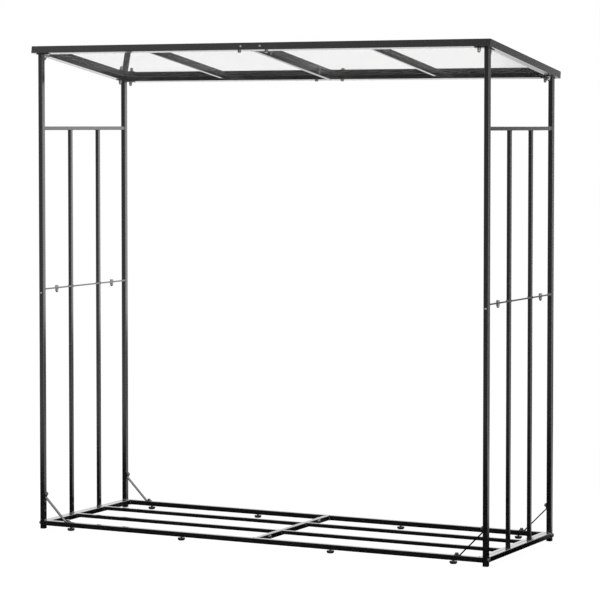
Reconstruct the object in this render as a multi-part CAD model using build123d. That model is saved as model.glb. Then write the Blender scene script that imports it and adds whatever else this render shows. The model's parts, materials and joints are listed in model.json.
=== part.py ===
from build123d import *
import os
from math import cos, radians, sin, sqrt

# Firewood log rack: two barred end frames, a slatted base on screw feet and a pent roof.
# Millimetres. X runs along the width, -Y is the open front, +Z is up, the floor is Z = 0.
# The origin lies on the floor under the middle of the rack.

# Layout of the frames
post_span = 1950.0  # between the centres of the left and right posts
post_depth = 645.0  # between the centres of the front and back posts
joint_height = 977.0  # floor to the joint of the lower and upper end frames
top_bar_height = 1628.0  # floor to the middle of an end frame's top bar
base_clearance = 14.0  # floor to the underside of the base rails
roof_mid_height = 1877.0  # floor to the underside of the roof tubes, halfway back
roof_pitch = 8.6  # fall of the roof to the back, degrees
beam_set_out = 9.8  # from the post line out to the centres of the beams, along the slope

# Tube stock
tube = 20.0  # posts, rails, beams and end rafters
tube_wall = 1.2
tube_corner = 2.0
bar = 15.0  # upright bars, slats, top bars and middle rafters
bar_wall = 1.0
bar_corner = 1.5
slim = 10.0  # width of the centre rails and centre rafters, as high as the tube

# Flat flanges at the joint of the end frames
flange_width = 18.0
flange_thickness = 3.0

# Inner sleeves of the post joints and of the beam joints
sleeve_gap = 0.3  # clearance to the tube on each side
sleeve_wall = 1.5
sleeve_corner = 1.0
post_sleeve_length = 120.0
beam_sleeve_length = 170.0

# Caps under the posts
cap_rim = 5.0
cap_stub = 14.0
cap_stub_wall = 2.5
cap_gap = 0.2

# Strip braces between post and base rail
brace_width = 15.0
brace_thickness = 3.0
brace_run = 94.0  # from the corner to the bends, along the post and along the rail
brace_bolt = 108.0  # from the corner to the bolts in the rail and in the post
brace_end = 117.0  # from the corner to the tips of the strip

# Screw feet
foot_end_offset = 132.0  # from the post's centre to the outer feet
foot_mid_offset = 329.0  # from the middle of the rack to the inner feet
pad_radius = 15.0
pad_base_radius = 11.0
pad_height = 10.0
pad_rim = 2.5  # straight rim at the top of the pad
stud_diameter = 8.0
stud_reach = 13.0  # above the rail's underside
stud_socket = 6.0  # depth of the stud in the pad
foot_insert_diameter = 12.0
foot_insert_length = 9.0
foot_insert_gap = 0.08  # running clearance of the stud, on the radius

# Roof edge trim and panels
trim_overhang = 15.0  # beyond the beams and end rafters
trim_wall = 1.2
trim_seam = 0.4  # half the gap between the trims of the two halves
panel_thickness = 6.0
panel_gap = 0.8  # between the panel and the trim's top
panel_edge_gap = 2.0  # room for the panel to grow inside the trim
panel_seam = 0.5  # half the gap between the two panels
panel_skin = 0.5
panel_rib = 0.5
flute_pitch = 10.0
joiner_length = 120.0
joiner_thickness = 2.0
joiner_gap = 1.0  # above the trim's floor and below the panel
joiner_screw_offset = 42.0  # from the middle of the rack

# Corner plates between posts and roof
plate_thickness = 3.0
plate_arm_x = 45.0  # past the end rafter's centre
plate_arm_y = 55.0  # past the beam's centre
beam_bolt_offset = 29.0  # from the end rafter's centre
rafter_bolt_offset = 38.0  # from the beam's centre
splice_bolt_offset = 59.0  # from the middle of the rack

# Fasteners
bolt_diameter = 8.0
bolt_hole_gap = 0.3  # clearance of a bolt hole on the radius
hex_width = 13.0  # across flats
hex_chamfer = 0.3  # how far the chamfer of the corners reaches inside the flats
hex_head_height = 5.3
countersink_radius = 7.4
washer_radius = 7.5
washer_thickness = 1.6
nut_hex_height = 6.5
nut_dome_radius = 6.2
nut_height = 15.0
nut_bore_depth = 10.5
nut_bore_gap = 0.05  # clearance of a nut's thread on the radius
nut_engagement = 9.0  # length of bolt inside a cap nut
insert_radius = 5.5
insert_length = 9.0
plug_length = 20.0
plug_gap = 0.1
screw_diameter = 5.0
screw_head_radius = 4.3
screw_head_height = 2.4
screw_length = 10.0
sleeve_screw_drop = 16.0  # below the post joint

# Worked out from the sizes above
post_x = post_span / 2
post_y = post_depth / 2
post_face_x = post_x - tube / 2
post_face_y = post_y - tube / 2
rail_z = base_clearance + tube / 2
rail_top = base_clearance + tube
slat_z = rail_top - bar / 2
third_y = post_depth / 6  # slats and bars divide the depth in three
clamp_y = post_depth / 3  # bolts of the flanges and of the centre rails
roof_frame_depth = post_depth / cos(radians(roof_pitch)) + 2 * beam_set_out
beam_y = roof_frame_depth / 2
mid_rafter_x = (slim + post_face_x) / 2
trim_height = tube + panel_thickness + panel_gap + trim_wall
trim_x = post_x + tube / 2 + trim_overhang
trim_y = beam_y + tube / 2 + trim_overhang
clamp_roof_y = clamp_y / cos(radians(roof_pitch))
bolt_hole = bolt_diameter + 2 * bolt_hole_gap
bolt_radius = bolt_diameter / 2

# The roof is drawn flat, with the underside of its tubes at height 0, and then laid on the slope.
# The shift keeps its overhang equal at the front and at the back.
roof_shift = -trim_height * sin(radians(roof_pitch)) / 2
roof_place = Location((0, roof_shift, roof_mid_height), (-roof_pitch, 0, 0))

LOW = (Align.CENTER, Align.CENTER, Align.MIN)
sides = {"left": -1, "right": 1}
ends = {"front": -1, "back": 1}
nodes = {}
bolts = []
roof_bolts = []
nuts = []
washers = []
screws = []
inserts = []


def hollow(width, height, wall, corner):
    inner_corner = max(corner - wall, wall / 4)
    inner = RectangleRounded(width - 2 * wall, height - 2 * wall, inner_corner)
    return RectangleRounded(width, height, corner) - inner


def along_x(profile, x0, x1, y, z):
    return extrude(Plane((x0, y, z), x_dir=(0, 1, 0), z_dir=(1, 0, 0)) * profile, x1 - x0)


def along_y(profile, y0, y1, x, z):
    return extrude(Plane((x, y0, z), x_dir=(-1, 0, 0), z_dir=(0, 1, 0)) * profile, y1 - y0)


def along_z(profile, z0, z1, x, y):
    return extrude(Plane((x, y, z0)) * profile, z1 - z0)


def block(x0, x1, y0, y1, z0, z1):
    corner = Align.MIN, Align.MIN, Align.MIN
    return Pos(x0, y0, z0) * Box(x1 - x0, y1 - y0, z1 - z0, align=corner)


def hole(start, direction, depth, diameter):
    return Plane(start, z_dir=direction) * Cylinder(diameter / 2, depth, align=LOW)


def to_side(part, side):
    return part if sides[side] > 0 else mirror(part, about=Plane.YZ)


def to_end(part, end):
    return part if ends[end] > 0 else mirror(part, about=Plane.XZ)


def solids_of(parts):
    return Compound([solid for part in parts for solid in part.solids()])


main_tube = hollow(tube, tube, tube_wall, tube_corner)
bar_tube = hollow(bar, bar, bar_wall, bar_corner)


# Fasteners, drawn with the seat at height 0 and the shank pointing down

def hex_block(height):
    prism = extrude(RegularPolygon(hex_width / 2, 6, major_radius=False), height)
    face_radius = hex_width / 2 - hex_chamfer
    return prism & Cone(face_radius + height * sqrt(3), face_radius, height, align=LOW)


def hex_bolt(length):
    return hex_block(hex_head_height) + Pos(0, 0, -length) * Cylinder(bolt_radius, length, align=LOW)


def countersunk_bolt(length):
    head_height = countersink_radius - bolt_radius
    head = Pos(0, 0, -head_height) * Cone(bolt_radius, countersink_radius, head_height, align=LOW)
    return head + Pos(0, 0, -length) * Cylinder(bolt_radius, length, align=LOW)


def countersink():
    top = countersink_radius + bolt_hole_gap
    return Pos(0, 0, -top) * Cone(0, top, top, align=LOW)


def washer():
    ring = Circle(washer_radius) - Circle(bolt_radius + bolt_hole_gap)
    return extrude(ring, -washer_thickness)


def cap_nut():
    neck = nut_height - nut_hex_height - nut_dome_radius
    body = Pos(0, 0, -nut_hex_height) * hex_block(nut_hex_height)
    body += Pos(0, 0, -nut_hex_height - neck) * Cylinder(nut_dome_radius, neck, align=LOW)
    body += Pos(0, 0, -nut_height + nut_dome_radius) * Sphere(nut_dome_radius)
    bore = Cylinder(bolt_radius + nut_bore_gap, nut_bore_depth, align=LOW)
    return body - Pos(0, 0, -nut_bore_depth) * bore


def button_screw():
    head = Cylinder(screw_head_radius, screw_head_height, align=LOW)
    head = fillet(head.edges().group_by(Axis.Z)[-1], screw_head_height * 0.8)
    return head + Pos(0, 0, -screw_length) * Cylinder(screw_diameter / 2, screw_length, align=LOW)


def clamp(place, grip):
    length = grip + 2 * washer_thickness + nut_engagement
    bolts.append(place * Pos(0, 0, washer_thickness) * hex_bolt(length))
    washers.append(place * Pos(0, 0, washer_thickness) * washer())
    washers.append(place * Pos(0, 0, -grip) * washer())
    nuts.append(place * Pos(0, 0, -grip - washer_thickness) * cap_nut())


def hang(place, grip):
    roof_bolts.append(place * countersunk_bolt(grip + washer_thickness + nut_engagement))
    washers.append(place * Pos(0, 0, -grip) * washer())
    nuts.append(place * Pos(0, 0, -grip - washer_thickness) * cap_nut())


# Base half frames, drawn on the right

def make_base():
    plug_width = tube - 2 * tube_wall - 2 * plug_gap
    plug = RectangleRounded(plug_width, plug_width, tube_corner / 2) - Circle(bolt_radius + nut_bore_gap)
    foot_hole = stud_diameter + 2 * foot_insert_gap
    foot_ring = Circle(foot_insert_diameter / 2) - Circle(foot_hole / 2)
    insert_ring = Circle(insert_radius) - Circle(bolt_radius + nut_bore_gap)
    brace_x = post_face_x - brace_bolt
    foot_x = {"inner": foot_mid_offset, "outer": post_x - foot_end_offset}
    for end, way in ends.items():
        rail = along_x(main_tube, 0, post_face_x, post_y, rail_z)
        rail -= hole((brace_x, post_y, rail_top + 1), (0, 0, -1), tube / 2, bolt_hole)
        rail_inserts = [along_x(plug, post_face_x - plug_length, post_face_x, post_y, rail_z)]
        insert_seat = rail_top - tube_wall
        rail_inserts.append(along_z(insert_ring, insert_seat - insert_length, insert_seat, brace_x, post_y))
        for x in foot_x.values():
            rail -= hole((x, post_y, base_clearance - 1), (0, 0, 1), tube / 2, foot_hole)
            foot_seat = base_clearance + tube_wall
            rail_inserts.append(along_z(foot_ring, foot_seat, foot_seat + foot_insert_length, x, post_y))
        for side in sides:
            nodes[f"base_{end}_rail_{side}"] = to_side(to_end(rail, end), side)
            inserts.extend(to_side(to_end(piece, end), side) for piece in rail_inserts)
            for name, x in foot_x.items():
                nodes[f"foot_{end}_{side}_{name}"] = make_foot(sides[side] * x, way * post_y)

    end_rail = along_y(main_tube, -post_face_y, post_face_y, post_face_x - tube / 2, rail_z)
    slim_tube = hollow(slim, tube, tube_wall, tube_corner)
    centre_rail = along_y(slim_tube, -post_face_y, post_face_y, slim / 2, rail_z)
    for y in (-clamp_y, clamp_y):
        centre_rail -= hole((-1, y, rail_z), (1, 0, 0), slim + 2, bolt_hole)
        clamp(Plane((slim, y, rail_z), z_dir=(1, 0, 0)).location, 2 * slim)
    slats = [along_x(bar_tube, slim, post_face_x - tube, y, slat_z) for y in (-third_y, third_y)]
    for side in sides:
        nodes[f"base_end_rail_{side}"] = to_side(end_rail, side)
        nodes[f"base_centre_rail_{side}"] = to_side(centre_rail, side)
        nodes[f"base_slats_{side}"] = solids_of(to_side(slat, side) for slat in slats)


def make_foot(x, y):
    shoulder = pad_height - pad_rim
    start = pad_base_radius, 0
    belly = pad_radius, shoulder
    outline = Line((0, 0), start)
    outline += TangentArc(belly, start, tangent=(0, -1), tangent_from_first=True)
    outline += Polyline(belly, (pad_radius, pad_height), (0, pad_height), (0, 0))
    pad = revolve(make_face(Plane.XZ * outline), Axis.Z)
    stud_low = pad_height - stud_socket
    stud = along_z(Circle(stud_diameter / 2), stud_low, base_clearance + stud_reach, 0, 0)
    return solids_of([Pos(x, y, 0) * (pad - stud), Pos(x, y, 0) * stud])


# End frames, drawn on the right

def make_end_frames():
    cap_width = tube - 2 * tube_wall - 2 * cap_gap
    cap = extrude(RectangleRounded(tube, tube, tube_corner), cap_rim)
    cap_profile = hollow(cap_width, cap_width, cap_stub_wall, sleeve_corner)
    cap += along_z(cap_profile, cap_rim, cap_rim + cap_stub, 0, 0)
    sleeve_width = tube - 2 * tube_wall - 2 * sleeve_gap
    sleeve_low = joint_height - post_sleeve_length / 2
    sleeve_high = joint_height + post_sleeve_length / 2
    sleeve_profile = hollow(sleeve_width, sleeve_width, sleeve_wall, sleeve_corner)
    sleeve = along_z(sleeve_profile, sleeve_low, sleeve_high, 0, 0)
    screw_z = joint_height - sleeve_screw_drop
    screw_hole = hole((0, tube / 2 + 1, screw_z), (0, -1, 0), tube / 2, screw_diameter + 2 * nut_bore_gap)
    screw_place = Plane((0, tube / 2, screw_z), z_dir=(0, 1, 0)).location
    sleeve -= screw_hole
    insert_ring = Circle(insert_radius) - Circle(bolt_radius + nut_bore_gap)
    brace_z = rail_top + brace_bolt
    insert_seat = -tube / 2 + tube_wall
    post_insert = along_x(insert_ring, insert_seat, insert_seat + insert_length, 0, brace_z)
    bolt_length = washer_thickness + tube + plug_length
    bolt_place = Plane((tube / 2, 0, rail_z), z_dir=(1, 0, 0)).location

    lower = along_z(main_tube, cap_rim, joint_height, 0, 0) - screw_hole
    lower -= hole((-tube, 0, rail_z), (1, 0, 0), 2 * tube, bolt_hole)
    lower -= hole((-tube, 0, brace_z), (1, 0, 0), tube, bolt_hole)
    reach = roof_frame_depth
    upper = along_z(main_tube, joint_height, roof_mid_height + reach / 2, 0, 0)
    above_plates = roof_place * block(-trim_x, trim_x, -reach, reach, -plate_thickness, 2 * reach)

    caps = []
    sleeves = []
    for end, way in ends.items():
        at_post = Pos(post_x, post_y, 0)
        lower_post = to_end(at_post * lower, end)
        upper_post = to_end(at_post * upper, end) - above_plates
        for side in sides:
            nodes[f"lower_{end}_post_{side}"] = to_side(lower_post, side)
            nodes[f"upper_{end}_post_{side}"] = to_side(upper_post, side)

            def at_corner(piece):
                return to_side(to_end(at_post * piece, end), side)

            caps.append(at_corner(cap))
            sleeves.append(at_corner(sleeve))
            screws.append(at_corner(screw_place * button_screw()))
            inserts.append(at_corner(post_insert))
            bolts.append(at_corner(bolt_place * Pos(0, 0, washer_thickness) * hex_bolt(bolt_length)))
            washers.append(at_corner(bolt_place * Pos(0, 0, washer_thickness) * washer()))
    nodes["post_caps"] = solids_of(caps)

    bottom_rail = along_y(main_tube, -post_face_y, post_face_y, post_x, rail_z)
    top_bar = along_y(bar_tube, -post_face_y, post_face_y, post_x, top_bar_height)
    flange_low = joint_height - flange_thickness
    flange_high = joint_height + flange_thickness
    inner_x = post_x - flange_width / 2
    outer_x = post_x + flange_width / 2
    flanges = [
        block(inner_x, outer_x, -post_face_y, post_face_y, flange_low, joint_height),
        block(inner_x, outer_x, -post_face_y, post_face_y, joint_height, flange_high),
    ]
    bars = {"lower": [], "upper": []}
    for y in (-third_y, third_y):
        bars["lower"].append(along_z(bar_tube, rail_top, flange_low, post_x, y))
        bars["upper"].append(along_z(bar_tube, flange_high, top_bar_height - bar / 2, post_x, y))
    for y in (-clamp_y, clamp_y):
        flange_hole = hole((post_x, y, flange_low - 1), (0, 0, 1), 2 * flange_thickness + 2, bolt_hole)
        flanges = [flange - flange_hole for flange in flanges]
        for way in sides.values():
            clamp(Pos(way * post_x, y, flange_high), 2 * flange_thickness)
    nodes["mid_flanges"] = solids_of(to_side(flange, side) for side in sides for flange in flanges)
    for side in sides:
        nodes[f"end_bottom_rail_{side}"] = to_side(bottom_rail, side)
        nodes[f"end_top_bar_{side}"] = to_side(top_bar, side)
        for level, pair in bars.items():
            nodes[f"{level}_bars_{side}"] = solids_of(to_side(piece, side) for piece in pair)
    return sleeves


# Strip braces, drawn in the corner of a post and a rail and then turned to the right

def make_braces():
    bend = brace_run + brace_thickness * (sqrt(2) - 1)
    outline = [(0, brace_end), (0, brace_run), (brace_run, 0), (brace_end, 0), (brace_end, brace_thickness)]
    outline += [(bend, brace_thickness), (brace_thickness, bend), (brace_thickness, brace_end)]
    strip = extrude(Plane.XZ * make_face(Polyline(*outline, close=True)), brace_width / 2, both=True)
    strip -= hole((-1, 0, brace_bolt), (1, 0, 0), brace_thickness + 2, bolt_hole)
    strip -= hole((brace_bolt, 0, -1), (0, 0, 1), brace_thickness + 2, bolt_hole)
    thread_depth = tube_wall + insert_length
    seat = brace_thickness + washer_thickness
    on_rail = Pos(brace_bolt, 0, seat)
    rail_bolt = on_rail * hex_bolt(seat + thread_depth)
    rail_washer = on_rail * washer()
    on_post = Plane((seat, 0, brace_bolt), z_dir=(1, 0, 0)).location
    post_bolt = on_post * hex_bolt(seat + thread_depth)
    post_washer = on_post * washer()
    corner = Pos(-post_face_x, post_y, rail_top)
    strips = []
    for end in ends:
        for side in sides:

            def at_corner(piece):
                placed = to_end(corner * piece, end)
                return placed if side == "left" else mirror(placed, about=Plane.YZ)

            strips.append(at_corner(strip))
            bolts.extend([at_corner(rail_bolt), at_corner(post_bolt)])
            washers.extend([at_corner(rail_washer), at_corner(post_washer)])
    nodes["braces"] = solids_of(strips)


# Roof half frames, drawn flat on the right

def make_roof():
    grip = tube + plate_thickness
    beam_bolt_x = post_x - beam_bolt_offset
    rafter_bolt_y = beam_y - rafter_bolt_offset
    beam = along_x(main_tube, 0, post_x + tube / 2, beam_y, tube / 2)
    beam -= hole((splice_bolt_offset, beam_y, -1), (0, 0, 1), tube / 2, bolt_hole)
    beam -= hole((beam_bolt_x, beam_y, -1), (0, 0, 1), tube + 2, bolt_hole)
    beam -= Pos(beam_bolt_x, beam_y, tube) * countersink()
    end_rafter = along_y(main_tube, -beam_y + tube / 2, beam_y - tube / 2, post_x, tube / 2)
    for y in (-rafter_bolt_y, rafter_bolt_y):
        end_rafter -= hole((post_x, y, -1), (0, 0, 1), tube + 2, bolt_hole)
        end_rafter -= Pos(post_x, y, tube) * countersink()
    inside_y = beam_y - tube / 2
    mid_rafter = along_y(bar_tube, -inside_y, inside_y, mid_rafter_x, tube - bar / 2)
    slim_tube = hollow(slim, tube, tube_wall, tube_corner)
    centre_rafter = along_y(slim_tube, -inside_y, inside_y, slim / 2, tube / 2)
    for y in (-clamp_roof_y, clamp_roof_y):
        centre_rafter -= hole((-1, y, tube / 2), (1, 0, 0), slim + 2, bolt_hole)
        clamp(roof_place * Plane((slim, y, tube / 2), z_dir=(1, 0, 0)).location, 2 * slim)

    plates = []
    arm_x = block(post_x - plate_arm_x, post_x + tube / 2, inside_y, beam_y + tube / 2, -plate_thickness, 0)
    arm_y = block(post_face_x, post_x + tube / 2, beam_y - plate_arm_y, beam_y, -plate_thickness, 0)
    plate = arm_x + arm_y
    plate -= hole((beam_bolt_x, beam_y, -plate_thickness - 1), (0, 0, 1), plate_thickness + 2, bolt_hole)
    plate -= hole((post_x, rafter_bolt_y, -plate_thickness - 1), (0, 0, 1), plate_thickness + 2, bolt_hole)
    for end, way in ends.items():
        for side, hand in sides.items():
            nodes[f"roof_{end}_beam_{side}"] = roof_place * to_side(to_end(beam, end), side)
            plates.append(roof_place * to_side(to_end(plate, end), side))
            hang(roof_place * Pos(hand * beam_bolt_x, way * beam_y, tube), grip)
            hang(roof_place * Pos(hand * post_x, way * rafter_bolt_y, tube), grip)
    nodes["corner_plates"] = solids_of(plates)
    panel = make_panel()
    trims = make_trim()
    for side in sides:
        nodes[f"roof_end_rafter_{side}"] = roof_place * to_side(end_rafter, side)
        nodes[f"roof_mid_rafter_{side}"] = roof_place * to_side(mid_rafter, side)
        nodes[f"roof_centre_rafter_{side}"] = roof_place * to_side(centre_rafter, side)
        nodes[f"roof_panel_{side}"] = roof_place * to_side(panel, side)
        nodes[f"roof_trim_{side}"] = solids_of(roof_place * to_side(trim, side) for trim in trims)

    sleeve_width = tube - 2 * tube_wall - 2 * sleeve_gap
    sleeve_profile = hollow(sleeve_width, sleeve_width, sleeve_wall, sleeve_corner)
    half_sleeve = beam_sleeve_length / 2
    sleeve = along_x(sleeve_profile, -half_sleeve, half_sleeve, beam_y, tube / 2)
    sleeve_floor = tube_wall + sleeve_gap + sleeve_wall
    insert_top = sleeve_floor + insert_length
    insert_ring = Circle(insert_radius) - Circle(bolt_radius + nut_bore_gap)
    for x in (-splice_bolt_offset, splice_bolt_offset):
        sleeve -= hole((x, beam_y, 0), (0, 0, 1), tube / 2, bolt_hole)
        seat = Plane((x, beam_y, -washer_thickness), z_dir=(0, 0, -1)).location
        splice_bolt = seat * hex_bolt(washer_thickness + insert_top)
        splice_washer = seat * washer()
        splice_insert = along_z(insert_ring, sleeve_floor, insert_top, x, beam_y)
        for end in ends:
            bolts.append(roof_place * to_end(splice_bolt, end))
            washers.append(roof_place * to_end(splice_washer, end))
            inserts.append(roof_place * to_end(splice_insert, end))
    return [roof_place * to_end(sleeve, end) for end in ends]


def make_panel():
    x0 = panel_seam
    x1 = trim_x - trim_wall - panel_edge_gap
    half_y = trim_y - trim_wall - panel_edge_gap
    flutes = int((x1 - x0 - panel_rib) / flute_pitch)
    pitch = (x1 - x0 - panel_rib) / flutes
    middle = (x0 + x1) / 2
    flute = Rectangle(pitch - panel_rib, panel_thickness - 2 * panel_skin)
    profile = Rectangle(x1 - x0, panel_thickness) - GridLocations(pitch, 0, flutes, 1) * flute
    return along_y(profile, -half_y, half_y, middle, tube + panel_thickness / 2)


def make_trim():
    lip = trim_overhang
    web_x = trim_x - trim_wall
    web_y = trim_y - trim_wall
    ring = block(trim_seam, trim_x, -trim_y, trim_y, 0, trim_height)
    ring -= block(0, web_x, -web_y, web_y, trim_wall, trim_height - trim_wall)
    ring -= block(0, trim_x - lip, -trim_y + lip, trim_y - lip, -1, trim_height + 1)
    for way in ends.values():
        ring -= joiner_holes(way)
    corner = 2 * lip
    front = Polygon(
        (0, -trim_y),
        (trim_x, -trim_y),
        (trim_x - corner, corner - trim_y),
        (0, corner - trim_y),
        align=None,
    )
    end = Polygon(
        (trim_x, -trim_y),
        (trim_x, trim_y),
        (trim_x - corner, trim_y - corner),
        (trim_x - corner, corner - trim_y),
        align=None,
    )
    front_piece = ring & extrude(front, trim_height)
    end_piece = ring & extrude(end, trim_height)
    return [front_piece, end_piece, mirror(front_piece, about=Plane.XZ)]


def joiner_holes(way):
    screw_hole = screw_diameter + 2 * nut_bore_gap
    start = way * (trim_y - trim_wall - joiner_thickness - 1)
    depth = trim_wall + joiner_thickness + 2
    places = [(x, start, trim_height / 2) for x in (-joiner_screw_offset, joiner_screw_offset)]
    return [hole(place, (0, way, 0), depth, screw_hole) for place in places]


def make_joiners():
    joiners = []
    half = joiner_length / 2
    outer = trim_y - trim_wall
    low = trim_wall + joiner_gap
    high = tube - joiner_gap
    for end, way in ends.items():
        plate = block(-half, half, outer - joiner_thickness, outer, low, high)
        joiners.append(roof_place * (to_end(plate, end) - joiner_holes(way)))
        for x in (-joiner_screw_offset, joiner_screw_offset):
            seat = Plane((x, way * trim_y, trim_height / 2), z_dir=(0, way, 0)).location
            screws.append(roof_place * seat * button_screw())
    nodes["trim_joiners"] = solids_of(joiners)


make_base()
post_sleeves = make_end_frames()
make_braces()
beam_sleeves = make_roof()
make_joiners()
nodes["joint_sleeves"] = solids_of(post_sleeves + beam_sleeves)
nodes["hex_bolts"] = solids_of(bolts)
nodes["roof_bolts"] = solids_of(roof_bolts)
nodes["cap_nuts"] = solids_of(nuts)
nodes["washers"] = solids_of(washers)
nodes["button_screws"] = solids_of(screws)
nodes["threaded_inserts"] = solids_of(inserts)

os.makedirs("parts", exist_ok=True)
for name, shape in nodes.items():
    export_step(shape, f"parts/{name}.step")
print(len(nodes), "nodes written")
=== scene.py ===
import json
import math

import bmesh
import bpy
from mathutils import Matrix, Vector


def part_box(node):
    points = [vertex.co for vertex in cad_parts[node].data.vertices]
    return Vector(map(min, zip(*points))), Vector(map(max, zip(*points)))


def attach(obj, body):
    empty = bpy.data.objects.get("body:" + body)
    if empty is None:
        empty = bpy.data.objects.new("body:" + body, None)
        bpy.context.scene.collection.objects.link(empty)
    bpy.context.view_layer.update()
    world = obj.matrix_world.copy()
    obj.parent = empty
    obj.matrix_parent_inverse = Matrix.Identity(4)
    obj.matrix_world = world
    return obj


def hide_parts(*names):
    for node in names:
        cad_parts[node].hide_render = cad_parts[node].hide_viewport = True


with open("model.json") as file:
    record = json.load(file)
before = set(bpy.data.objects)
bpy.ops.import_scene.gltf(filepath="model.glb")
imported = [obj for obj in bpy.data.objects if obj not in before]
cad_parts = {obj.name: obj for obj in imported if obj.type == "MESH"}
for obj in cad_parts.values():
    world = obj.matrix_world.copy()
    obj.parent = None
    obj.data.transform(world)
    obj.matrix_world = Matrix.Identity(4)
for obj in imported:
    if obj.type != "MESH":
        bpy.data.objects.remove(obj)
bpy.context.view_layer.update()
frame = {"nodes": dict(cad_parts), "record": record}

nodes = frame["nodes"]
print("rack frame loaded:", len(nodes), "pieces")

# sizes that the added pieces sit on, read from the frame, metres

def middleOf(node):
    low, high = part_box(node)
    return (Vector(low) + Vector(high)) / 2


def sizeOf(node):
    low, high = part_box(node)
    return Vector(high) - Vector(low)


rack = {
    "postX": middleOf("lower_back_post_right").x, "postY": middleOf("lower_back_post_right").y,
    "tube": sizeOf("lower_back_post_right").x, "bar": sizeOf("lower_bars_right").x,
    "slim": sizeOf("base_centre_rail_right").x,
    "railLow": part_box("base_front_rail_right")[0][2], "railTop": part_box("base_front_rail_right")[1][2],
    "jointZ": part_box("lower_back_post_right")[1][2],
    "flangeLow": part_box("mid_flanges")[0][2], "flangeHigh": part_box("mid_flanges")[1][2],
    "topBarZ": middleOf("end_top_bar_right").z, "midRafterX": middleOf("roof_mid_rafter_right").x,
}
rack["thirdY"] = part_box("lower_bars_right")[1][1] - rack["bar"] / 2
rack["faceX"] = rack["postX"] - rack["tube"] / 2  # inner faces of the posts
rack["faceY"] = rack["postY"] - rack["tube"] / 2
frontBeam = middleOf("roof_front_beam_right")
backBeam = middleOf("roof_back_beam_right")
slope = backBeam - frontBeam
ridge = (frontBeam + backBeam) / 2
roof = {
    "pitch": math.atan2(-slope.z, slope.y), "beamV": slope.length / 2,
    "trimHeight": 0.028, "overhang": 0.015,
}
roofTurn = Matrix.Rotation(-roof["pitch"], 4, "X")
roofPlace = Matrix.Translation((0, ridge.y, ridge.z)) @ roofTurn  # the beams' centre line is height 0


# finishes

def newMaterial(name):
    mat = bpy.data.materials.new(name)
    mat.use_nodes = True
    mat.node_tree.nodes.clear()
    tree = mat.node_tree
    out = tree.nodes.new("ShaderNodeOutputMaterial")
    shader = tree.nodes.new("ShaderNodeBsdfPrincipled")
    tree.links.new(shader.outputs["BSDF"], out.inputs["Surface"])
    coords = tree.nodes.new("ShaderNodeTexCoord")
    return mat, tree, shader, coords.outputs["Object"]


def noiseOn(tree, where, scale, detail, rough=0.55):
    noise = tree.nodes.new("ShaderNodeTexNoise")
    noise.inputs["Scale"].default_value = scale
    noise.inputs["Detail"].default_value = detail
    noise.inputs["Roughness"].default_value = rough
    tree.links.new(where, noise.inputs["Vector"])
    return noise.outputs["Fac"]


def tintOn(tree, shader, fac, look):
    ramp = tree.nodes.new("ShaderNodeValToRGB")
    for stop, place, colour in zip(ramp.color_ramp.elements, look["blend"], (look["dark"], look["light"])):
        stop.position, stop.color = place, (*colour, 1)
    tree.links.new(fac, ramp.inputs["Fac"])
    tree.links.new(ramp.outputs["Color"], shader.inputs["Base Color"])


def roughOn(tree, shader, fac, look):
    spread = tree.nodes.new("ShaderNodeMapRange")
    spread.inputs["To Min"].default_value, spread.inputs["To Max"].default_value = look["rough"]
    tree.links.new(fac, spread.inputs["Value"])
    tree.links.new(spread.outputs["Result"], shader.inputs["Roughness"])


def grainOn(tree, shader, where, look):
    bump = tree.nodes.new("ShaderNodeBump")
    bump.inputs["Strength"].default_value = look["grainStrength"]
    bump.inputs["Distance"].default_value = look["grainDepth"]
    tree.links.new(noiseOn(tree, where, *look["grain"]), bump.inputs["Height"])
    tree.links.new(bump.outputs["Normal"], shader.inputs["Normal"])


coatLook = {  # mottle, smear and grain are each a scale and a detail
    "dark": (0.0065, 0.0066, 0.0069), "light": (0.0095, 0.0097, 0.0100), "blend": (0.3, 0.7),
    "mottle": (38.0, 6.0), "smear": (117.8, 4.0), "rough": (0.2, 0.3),
    "grain": (950.0, 2.0), "grainDepth": 0.00006, "grainStrength": 0.05,
    "coat": 1.0, "coatRough": 0.08, "coatIor": 1.6,
}
trimLook = dict(coatLook, mottle=(21.0, 6.0), smear=(65.1, 4.0), rough=(0.22, 0.32))


def powderCoat(name, look):
    mat, tree, shader, where = newMaterial(name)
    tintOn(tree, shader, noiseOn(tree, where, *look["mottle"]), look)
    roughOn(tree, shader, noiseOn(tree, where, *look["smear"]), look)
    grainOn(tree, shader, where, look)
    shader.inputs["Coat Weight"].default_value = look["coat"]
    shader.inputs["Coat Roughness"].default_value = look["coatRough"]
    shader.inputs["Coat IOR"].default_value = look["coatIor"]
    return mat


sheetLook = {
    "tint": (0.845, 0.845, 0.82), "haze": (6.0, 4.0), "rough": (0.0, 0.03),
    "ior": 1.58, "pass": 1.0, "coat": 1.0,
}


def roofSheet():
    mat, tree, shader, where = newMaterial("twinWallSheet")
    roughOn(tree, shader, noiseOn(tree, where, *sheetLook["haze"]), sheetLook)
    shader.inputs["Base Color"].default_value = (*sheetLook["tint"], 1)
    shader.inputs["IOR"].default_value = sheetLook["ior"]
    shader.inputs["Transmission Weight"].default_value = sheetLook["pass"]
    shader.inputs["Coat Weight"].default_value = sheetLook["coat"]
    return mat


plasticLook = {
    "dark": (0.008, 0.008, 0.0085), "light": (0.017, 0.017, 0.018), "blend": (0.3, 0.7),
    "cloud": (90.0, 4.0), "rough": (0.2, 0.34),
    "grain": (1600.0, 2.0), "grainDepth": 0.00004, "grainStrength": 0.4,
}


def mouldedPlastic():
    mat, tree, shader, where = newMaterial("blackPlastic")
    cloud = noiseOn(tree, where, *plasticLook["cloud"])
    tintOn(tree, shader, cloud, plasticLook)
    roughOn(tree, shader, cloud, plasticLook)
    grainOn(tree, shader, where, plasticLook)
    return mat


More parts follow.
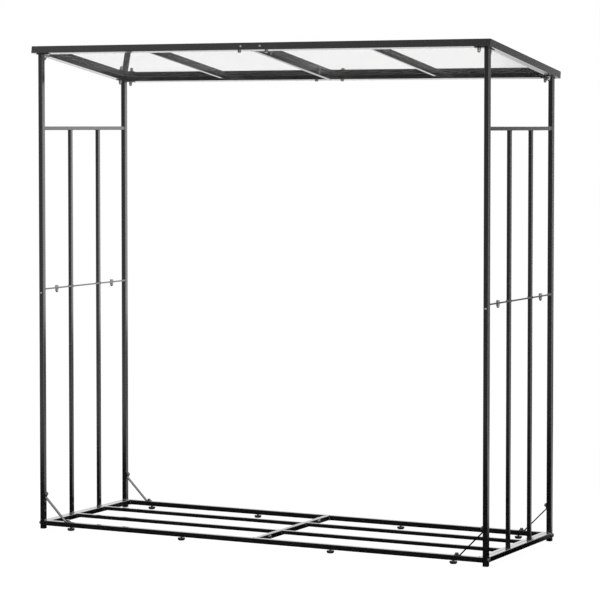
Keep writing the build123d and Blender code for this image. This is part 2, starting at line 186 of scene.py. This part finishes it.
zincLook = {
    "dark": (0.27, 0.273, 0.276), "light": (0.4, 0.405, 0.41), "blend": (0.25, 0.75),
    "bloom": (220.0, 5.0), "rough": (0.16, 0.3),
    "grain": (500.0, 3.0), "grainDepth": 0.0001, "grainStrength": 0.15,
    "metal": 0.8,  # the plating is a little chalky
}


def zincPlate():
    mat, tree, shader, where = newMaterial("zincPlate")
    bloom = noiseOn(tree, where, *zincLook["bloom"])
    tintOn(tree, shader, bloom, zincLook)
    roughOn(tree, shader, bloom, zincLook)
    grainOn(tree, shader, where, zincLook)
    shader.inputs["Metallic"].default_value = zincLook["metal"]
    return mat


frameCoat = powderCoat("frameCoat", coatLook)
trimCoat = powderCoat("trimCoat", trimLook)
sheetFinish = roofSheet()
plasticFinish = mouldedPlastic()
zincFinish = zincPlate()
finishes = {
    "frame_paint": frameCoat, "trim_paint": trimCoat, "roof_sheet": sheetFinish,
    "cap_plastic": plasticFinish, "foot_plastic": plasticFinish, "zinc_plate": zincFinish,
}
for part in frame["record"]["subparts"]:
    for place in nodes[part["node"]].material_slots:
        place.material = finishes[part["material_slot"]]
print("finishes set on the rack's pieces")


# added pieces
shaping = {"sharpAbove": 40.0, "seamGap": 1e-7}  # degrees, metres


def addPiece(name, bm, finish, body, sharpAbove=shaping["sharpAbove"]):
    bmesh.ops.recalc_face_normals(bm, faces=bm.faces)
    for face in bm.faces:
        face.smooth = True
    mesh = bpy.data.meshes.new(name)
    bm.to_mesh(mesh)
    bm.free()
    mesh.set_sharp_from_angle(angle=math.radians(sharpAbove))
    mesh.materials.append(finish)
    piece = bpy.data.objects.new(name, mesh)
    bpy.context.scene.collection.objects.link(piece)
    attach(piece, body)
    return piece


def spinProfile(bm, points, steps):
    ring = [bm.verts.new((radius, 0, height)) for radius, height in points]
    edges = [bm.edges.new(pair) for pair in zip(ring, ring[1:])]
    bmesh.ops.spin(
        bm, geom=ring + edges, cent=(0, 0, 0), axis=(0, 0, 1), angle=math.tau, steps=steps, use_merge=True)
    bmesh.ops.remove_doubles(bm, verts=bm.verts, dist=shaping["seamGap"])


# weld beads where tubes meet, under the paint
weld = {
    "radius": 0.0018, "step": 0.0016, "facets": 8, "rings": 5,
    "uneven": 0.1, "ripple": 2.3, "wander": 90,  # laid by hand, so the drops swell and shrink along a bead
    "slatGap": 0.001, "postGap": 0.002, "shortRun": 0.85,  # where a bead stops short of the corners
}


def weldDrop():
    bm = bmesh.new()
    bmesh.ops.create_uvsphere(
        bm, u_segments=weld["facets"], v_segments=weld["rings"], radius=weld["radius"])
    mesh = bpy.data.meshes.new("weldDrop")
    bm.to_mesh(mesh)
    bm.free()
    return mesh


drop = weldDrop()


def bead(bm, start, end, place=Matrix()):
    start, end = place @ Vector(start), place @ Vector(end)
    count = max(2, round((end - start).length / weld["step"]))
    for i in range(count + 1):
        wave = math.sin(weld["ripple"] * i + weld["wander"] * (start.x + start.y + start.z))
        swell = 1 + weld["uneven"] * wave
        spot = start.lerp(end, i / count)
        before = len(bm.verts)
        bm.from_mesh(drop)
        bm.verts.ensure_lookup_table()
        for vert in bm.verts[before:]:
            vert.co = spot + vert.co * swell


def collar(bm, centre, across, along, allRound=True):
    centre, across, along = Vector(centre), Vector(across), Vector(along)
    pairs = [(across, along), (-across, along)]
    if allRound:
        pairs += [(along, across), (-along, across)]
    for side, run in pairs:
        bead(bm, centre + side - run, centre + side + run)


def baseWelds():
    bm = bmesh.new()
    low, top = rack["railLow"], rack["railTop"]
    half = rack["bar"] / 2
    for hand in (-1, 1):
        endX, centreX = hand * (rack["faceX"] - rack["tube"]), hand * rack["slim"]
        for x in (endX, centreX):
            for y in (-rack["faceY"], rack["faceY"]):
                bead(bm, (x, y, low), (x, y, top))
            for y in (-rack["thirdY"], rack["thirdY"]):
                for side in (y - half, y + half):
                    bead(bm, (x, side, top - rack["bar"]), (x, side, top - weld["slatGap"]))
                bead(bm, (x, y - half, top - rack["bar"]), (x, y + half, top - rack["bar"]))
    addPiece("baseWelds", bm, frameCoat, "rack")


def endFrameWelds(hand):
    bm = bmesh.new()
    x, half = hand * rack["postX"], rack["bar"] / 2
    wide = rack["tube"] / 2 - weld["postGap"]
    alongX, alongY, alongZ = Vector((half, 0, 0)), Vector((0, half, 0)), Vector((0, 0, half))
    for y in (-rack["faceY"], rack["faceY"]):
        for z in (rack["railLow"], rack["railTop"], rack["flangeLow"], rack["flangeHigh"]):
            bead(bm, (x - wide, y, z), (x + wide, y, z))
        collar(bm, (x, y, rack["topBarZ"]), alongX, alongZ)
    for y in (-rack["thirdY"], rack["thirdY"]):
        for z in (rack["railTop"], rack["flangeLow"], rack["flangeHigh"]):
            collar(bm, (x, y, z), alongX, alongY)
        collar(bm, (x, y, rack["topBarZ"] - half), alongY, alongX * weld["shortRun"], allRound=False)
    name = "endFrameWelds" + ("Left" if hand < 0 else "Right")
    addPiece(name, bm, frameCoat, "rack")


def roofWelds():
    bm = bmesh.new()
    inside, half, top = roof["beamV"] - rack["tube"] / 2, rack["bar"] / 2, rack["tube"] / 2
    for hand in (-1, 1):
        midX = hand * rack["midRafterX"]
        for v in (-inside, inside):
            for x in (hand * rack["faceX"], hand * rack["slim"]):
                bead(bm, (x, v, -top), (x, v, top), roofPlace)
            for x in (midX - half, midX + half):
                bead(bm, (x, v, top - rack["bar"]), (x, v, top), roofPlace)
            bead(bm, (midX - half, v, top - rack["bar"]), (midX + half, v, top - rack["bar"]), roofPlace)
    addPiece("roofWelds", bm, frameCoat, "rack")


baseWelds()
endFrameWelds(-1)
endFrameWelds(1)
roofWelds()
bpy.data.meshes.remove(drop)
print("weld beads laid")


# button screws with hex sockets, in the post joints and in the trim
screw = {
    "radius": 0.0043, "height": 0.0024, "domeSteps": 6, "steps": 24,
    "socket": 0.0016, "socketDepth": 0.0014, "socketRim": 0.0021, "rimDrop": 0.0002,
    "shank": 0.0024, "length": 0.010, "drop": 0.016, "trimX": 0.042,
}


def screwShape():
    bm = bmesh.new()
    last = math.acos(screw["socketRim"] / screw["radius"])
    dome = [last * i / screw["domeSteps"] for i in range(screw["domeSteps"], -1, -1)]
    points = [(screw["radius"] * math.cos(t), screw["height"] * math.sin(t) / math.sin(last)) for t in dome]
    points += [(screw["shank"], 0), (screw["shank"], -screw["length"]), (0, -screw["length"])]
    spinProfile(bm, points, screw["steps"])
    sixth = math.pi / 3
    for depth, hexed in ((screw["rimDrop"], True), (screw["socketDepth"], False)):
        rim = [edge for edge in bm.edges if edge.is_boundary]
        made = bmesh.ops.extrude_edge_only(bm, edges=rim)["geom"]
        for vert in (item for item in made if isinstance(item, bmesh.types.BMVert)):
            vert.co.z -= depth
            if hexed:  # the round rim becomes the six sides of the key's socket
                angle = math.atan2(vert.co.y, vert.co.x)
                side = (angle + sixth / 2) % sixth - sixth / 2
                reach = screw["socket"] / math.cos(side)
                vert.co.x, vert.co.y = reach * math.cos(angle), reach * math.sin(angle)
    bmesh.ops.edgeloop_fill(bm, edges=[edge for edge in bm.edges if edge.is_boundary])
    mesh = bpy.data.meshes.new("screwShape")
    bm.to_mesh(mesh)
    bm.free()
    return mesh


def buttonScrews():
    shape = screwShape()
    postFace = rack["postY"] + rack["tube"] / 2
    trimFace = roof["beamV"] + rack["tube"] / 2 + roof["overhang"]
    places = []
    for way in (-1, 1):
        outward = Matrix.Rotation(-way * math.pi / 2, 4, "X")
        for hand in (-1, 1):
            spot = hand * rack["postX"], way * postFace, rack["jointZ"] - screw["drop"]
            places.append(Matrix.Translation(spot) @ outward)
            spot = hand * screw["trimX"], way * trimFace, (roof["trimHeight"] - rack["tube"]) / 2
            places.append(roofPlace @ Matrix.Translation(spot) @ outward)
    bm = bmesh.new()
    for place in places:
        before = len(bm.verts)
        bm.from_mesh(shape)
        bm.verts.ensure_lookup_table()
        bmesh.ops.transform(bm, matrix=place, verts=bm.verts[before:])
    bpy.data.meshes.remove(shape)
    piece = addPiece("buttonScrews", bm, zincFinish, "rack")
    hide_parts("button_screws")


buttonScrews()
print("button screws set")


# screw feet, each a moulded pad on a threaded stud
foot = {
    "padRadius": 0.015, "baseRadius": 0.011, "height": 0.010, "rim": 0.0025, "edge": 0.0024,
    "steps": 40, "bellySteps": 8, "edgeSteps": 6, "padSharp": 30.0,
    "crest": 0.004, "root": 0.0034, "pitch": 0.00125, "studLow": 0.006, "studTop": 0.027,
    "tip": 0.85, "studSteps": 20, "studSharp": 25.0,
}


def footPad(name, x, y):
    bm = bmesh.new()
    belly = foot["height"] - foot["rim"]
    inset = foot["padRadius"] - foot["baseRadius"]
    bend = (inset ** 2 + belly ** 2) / (2 * inset)  # the round side, upright where it meets the rim
    sweep = math.asin(belly / bend)
    points = [(0, 0)]
    for i in range(foot["bellySteps"] + 1):
        turn = sweep * (1 - i / foot["bellySteps"])
        points.append((foot["padRadius"] - bend * (1 - math.cos(turn)), belly - bend * math.sin(turn)))
    for i in range(foot["edgeSteps"] + 1):  # the rounded top edge
        turn = math.pi / 2 / foot["edgeSteps"] * i
        across, rise = foot["edge"] * (1 - math.cos(turn)), foot["edge"] * (1 - math.sin(turn))
        points.append((foot["padRadius"] - across, foot["height"] - rise))
    points.append((0, foot["height"]))
    spinProfile(bm, points, foot["steps"])
    bmesh.ops.translate(bm, vec=(x, y, 0), verts=bm.verts)
    padName = name.replace("foot_", "footPad_")
    pad = addPiece(padName, bm, plasticFinish, name, foot["padSharp"])
    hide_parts(name)


def footStud(name, x, y):
    bm = bmesh.new()
    points = [(0, foot["studLow"]), (foot["root"], foot["studLow"])]
    height = foot["studLow"]
    while height + foot["pitch"] < foot["studTop"]:
        points += [(foot["crest"], height + foot["pitch"] / 2), (foot["root"], height + foot["pitch"])]
        height += foot["pitch"]
    points += [(foot["root"] * foot["tip"], foot["studTop"]), (0, foot["studTop"])]
    spinProfile(bm, points, foot["studSteps"])
    bmesh.ops.translate(bm, vec=(x, y, 0), verts=bm.verts)
    studName = name.replace("foot_", "footStud_")
    addPiece(studName, bm, zincFinish, name, foot["studSharp"])


for name in sorted(nodes):
    if name.startswith("foot_"):
        spot = middleOf(name)
        footPad(name, spot.x, spot.y)
        footStud(name, spot.x, spot.y)
print("screw feet made")


# floor, world, card and lamp; the bright card stands behind the rack, to the right
studio = {
    "floorSize": 60.0, "floorGlow": 0.86, "floorLevel": 1.135, "floorColour": (0.9, 0.9, 0.9),
    # the near edge, back edge and back glow set a painted shade on the floor as the gloss sees it, dark
    # around the rack
    "ambient": 0.2, "glow": 1.15, "nearShadeEdge": (2.0, 5.0), "nearShadeBackEdge": (0.3, 0.9), "nearShadeBackGlow": 0.55,
    "footRoom": 0.009,  # the floor is this far down, clear of the feet when they are screwed right out
}
boards = {  # dark boards round the set and a bright window in front of it, seen only in the gloss
    "front": {"at": (-0.2, -0.98, 0.0), "edge": (0.7, 0.97), "level": 0.17},
    "side": {"at": (0.46, 0.888, 0.0), "edge": (0.956, 0.99), "level": 0.18},
    "back": {"at": (0.0, 1.0, 0.0), "edge": (0.955, 0.992), "level": 0.3},
    "window": {"at": (0.43, -0.87, 0.24), "edge": (0.94, 0.98), "level": 5.0},
}


def bareMaterial(name):
    mat = bpy.data.materials.new(name)
    mat.use_nodes = True
    mat.node_tree.nodes.clear()
    return mat, mat.node_tree, mat.node_tree.nodes.new("ShaderNodeOutputMaterial")


def fadeOn(tree, value, edge, levels):
    fade = tree.nodes.new("ShaderNodeMapRange")
    fade.interpolation_type = "SMOOTHSTEP"
    fade.inputs["From Min"].default_value, fade.inputs["From Max"].default_value = edge
    fade.inputs["To Min"].default_value, fade.inputs["To Max"].default_value = levels
    tree.links.new(value, fade.inputs["Value"])
    return fade.outputs["Result"]


def productOn(tree, start, factors):
    level = None
    for factor in factors:
        product = tree.nodes.new("ShaderNodeMath")
        product.operation = "MULTIPLY"
        product.inputs[0].default_value = start
        if level:
            tree.links.new(level, product.inputs[0])
        tree.links.new(factor, product.inputs[1])
        level = product.outputs[0]
    return level


def seenDirectly(tree):
    path = tree.nodes.new("ShaderNodeLightPath")
    first = tree.nodes.new("ShaderNodeMath")
    first.operation = "MAXIMUM"
    tree.links.new(path.outputs["Is Camera Ray"], first.inputs[0])
    tree.links.new(path.outputs["Is Transmission Ray"], first.inputs[1])
    return path, first.outputs[0]


def roomGlow(tree, direction):
    shades = []
    for board in boards.values():
        toward = tree.nodes.new("ShaderNodeVectorMath")
        toward.operation = "DOT_PRODUCT"
        toward.inputs[1].default_value = board["at"]
        tree.links.new(direction, toward.inputs[0])
        shades.append(fadeOn(tree, toward.outputs["Value"], board["edge"], (1.0, board["level"])))
    return productOn(tree, studio["glow"], shades)


def makeFloor():
    mesh = bpy.data.meshes.new("floor")
    bm = bmesh.new()
    bmesh.ops.create_grid(bm, x_segments=2, y_segments=2, size=studio["floorSize"])
    bmesh.ops.translate(bm, verts=bm.verts[:], vec=(0, 0, -studio["footRoom"]))
    bm.to_mesh(mesh)
    bm.free()
    floor = bpy.data.objects.new("floor", mesh)
    bpy.context.scene.collection.objects.link(floor)
    mat, tree, out = bareMaterial("paleFloor")
    matt = tree.nodes.new("ShaderNodeBsdfDiffuse")
    matt.inputs["Color"].default_value = (*studio["floorColour"], 1)
    white = tree.nodes.new("ShaderNodeEmission")  # what the camera sees: white, with a trace of the shadow
    white.inputs["Strength"].default_value = studio["floorLevel"]
    path, direct = seenDirectly(tree)
    seen = tree.nodes.new("ShaderNodeMixShader")
    tree.links.new(productOn(tree, studio["floorGlow"], [direct]), seen.inputs["Fac"])
    tree.links.new(matt.outputs["BSDF"], seen.inputs[1])
    tree.links.new(white.outputs["Emission"], seen.inputs[2])
    coords = tree.nodes.new("ShaderNodeTexCoord")
    outward = tree.nodes.new("ShaderNodeVectorMath")
    outward.operation = "NORMALIZE"
    reach = tree.nodes.new("ShaderNodeVectorMath")
    reach.operation = "LENGTH"
    depth = tree.nodes.new("ShaderNodeSeparateXYZ")
    for node in (outward, reach, depth):
        tree.links.new(coords.outputs["Object"], node.inputs[0])
    # painted shade on the floor's glossy glow: dark within a few metres of the rack
    far = fadeOn(tree, reach.outputs["Value"], studio["nearShadeEdge"], (0.0, 1.0))
    behind = fadeOn(tree, depth.outputs["Y"], studio["nearShadeBackEdge"], (0.0, studio["nearShadeBackGlow"]))
    gloss = tree.nodes.new("ShaderNodeMix")  # painted shade: as the gloss sees it, the floor is black close in front of the rack, half lit close behind it, then rises to the room's own level further out
    tree.links.new(far, gloss.inputs["Factor"])
    tree.links.new(behind, gloss.inputs["A"])
    tree.links.new(roomGlow(tree, outward.outputs["Vector"]), gloss.inputs["B"])
    mirrored = tree.nodes.new("ShaderNodeEmission")  # what the gloss sees: the room, boards and window
    tree.links.new(gloss.outputs["Result"], mirrored.inputs["Strength"])
    only = tree.nodes.new("ShaderNodeMath")  # a ray through the roof sheet also counts as glossy
    only.operation = "SUBTRACT"
    only.use_clamp = True
    tree.links.new(path.outputs["Is Glossy Ray"], only.inputs[0])
    tree.links.new(path.outputs["Is Transmission Ray"], only.inputs[1])
    both = tree.nodes.new("ShaderNodeMixShader")
    tree.links.new(only.outputs[0], both.inputs["Fac"])
    tree.links.new(seen.outputs["Shader"], both.inputs[1])
    tree.links.new(mirrored.outputs["Emission"], both.inputs[2])
    tree.links.new(both.outputs["Shader"], out.inputs["Surface"])
    mesh.materials.append(mat)


def makeWorld():
    world = bpy.data.worlds.new("studio")
    bpy.context.scene.world = world
    world.use_nodes = True
    tree = world.node_tree
    tree.nodes.clear()
    out = tree.nodes.new("ShaderNodeOutputWorld")
    sky = tree.nodes.new("ShaderNodeBackground")
    sky.inputs["Color"].default_value = (1, 1, 1, 1)
    coords = tree.nodes.new("ShaderNodeTexCoord")
    path, direct = seenDirectly(tree)
    glossy = tree.nodes.new("ShaderNodeMix")
    glossy.inputs["A"].default_value = studio["ambient"]
    tree.links.new(path.outputs["Is Glossy Ray"], glossy.inputs["Factor"])
    tree.links.new(roomGlow(tree, coords.outputs["Generated"]), glossy.inputs["B"])
    level = tree.nodes.new("ShaderNodeMix")
    level.inputs["B"].default_value = 1.0
    tree.links.new(direct, level.inputs["Factor"])
    tree.links.new(glossy.outputs["Result"], level.inputs["A"])
    tree.links.new(level.outputs["Result"], sky.inputs["Strength"])
    tree.links.new(sky.outputs["Background"], out.inputs["Surface"])


card = {
    "at": (1.81, 5.0, 1.165), "aim": (-0.975, -0.1, 1.165), "size": (1.79, 1.93),
    "fade": 0.3, "glow": 1.45,
}


def makeCard():
    half = 0.5  # a card of one metre, scaled to its size
    bm = bmesh.new()
    bmesh.ops.create_grid(bm, x_segments=1, y_segments=1, size=half)
    mesh = bpy.data.meshes.new("card")
    bm.to_mesh(mesh)
    bm.free()
    holder = bpy.data.objects.new("card", mesh)
    bpy.context.scene.collection.objects.link(holder)
    holder.location = card["at"]
    toward = Vector(card["aim"]) - Vector(card["at"])
    holder.rotation_euler = toward.to_track_quat("Z", "Y").to_euler()
    holder.scale = (*card["size"], 1)
    holder.visible_camera = holder.visible_diffuse = False  # seen in the gloss alone
    holder.visible_transmission = holder.visible_shadow = False
    mat, tree, out = bareMaterial("softCard")
    coords = tree.nodes.new("ShaderNodeTexCoord")
    split = tree.nodes.new("ShaderNodeSeparateXYZ")
    tree.links.new(coords.outputs["Object"], split.inputs[0])
    fades = []
    for axis in "XY":  # bright in the middle, fading out to the edges
        off = tree.nodes.new("ShaderNodeMath")
        off.operation = "ABSOLUTE"
        tree.links.new(split.outputs[axis], off.inputs[0])
        fades.append(fadeOn(tree, off.outputs[0], (half - card["fade"] / 2, half), (1.0, 0.0)))
    lit = tree.nodes.new("ShaderNodeEmission")
    clear = tree.nodes.new("ShaderNodeBsdfTransparent")
    add = tree.nodes.new("ShaderNodeAddShader")
    tree.links.new(productOn(tree, card["glow"], fades), lit.inputs["Strength"])
    tree.links.new(lit.outputs["Emission"], add.inputs[0])
    tree.links.new(clear.outputs["BSDF"], add.inputs[1])
    tree.links.new(add.outputs["Shader"], out.inputs["Surface"])
    mesh.materials.append(mat)


lamps = {
    "key": {"at": (-0.45, -2.4, 3.7), "aim": (0.0, 0.0, 1.5), "size": (2.6, 1.8), "power": 115.0},
}


def makeLamps():
    for name, lamp in lamps.items():
        light = bpy.data.lights.new(name, "AREA")
        light.energy = lamp["power"]
        light.shape = "RECTANGLE"
        light.size, light.size_y = lamp["size"]
        holder = bpy.data.objects.new(name, light)
        bpy.context.scene.collection.objects.link(holder)
        holder.location = lamp["at"]
        toward = Vector(lamp["aim"]) - Vector(lamp["at"])
        holder.rotation_euler = toward.to_track_quat("-Z", "Y").to_euler()
        holder.visible_glossy = holder.visible_transmission = False  # the gloss shows the room, not the lamp


view = {
    "at": (4.581, -8.902, 1.641), "turn": 27.06, "dip": 2.62,
    "lens": 150.67, "sensor": 36.0, "shift": -0.1, "reach": 200.0,
}


def makeCamera():
    cam = bpy.data.cameras.new("camera")
    cam.sensor_width = view["sensor"]
    cam.lens = view["lens"]
    cam.shift_y = view["shift"]
    cam.clip_end = view["reach"]
    holder = bpy.data.objects.new("camera", cam)
    bpy.context.scene.collection.objects.link(holder)
    holder.location = view["at"]
    holder.rotation_euler = (math.radians(90.0 - view["dip"]), 0.0, math.radians(view["turn"]))
    bpy.context.scene.camera = holder
    bpy.context.scene.view_settings.view_transform = "Standard"


makeFloor()
makeWorld()
makeCard()
makeLamps()
makeCamera()
print("studio and camera set")
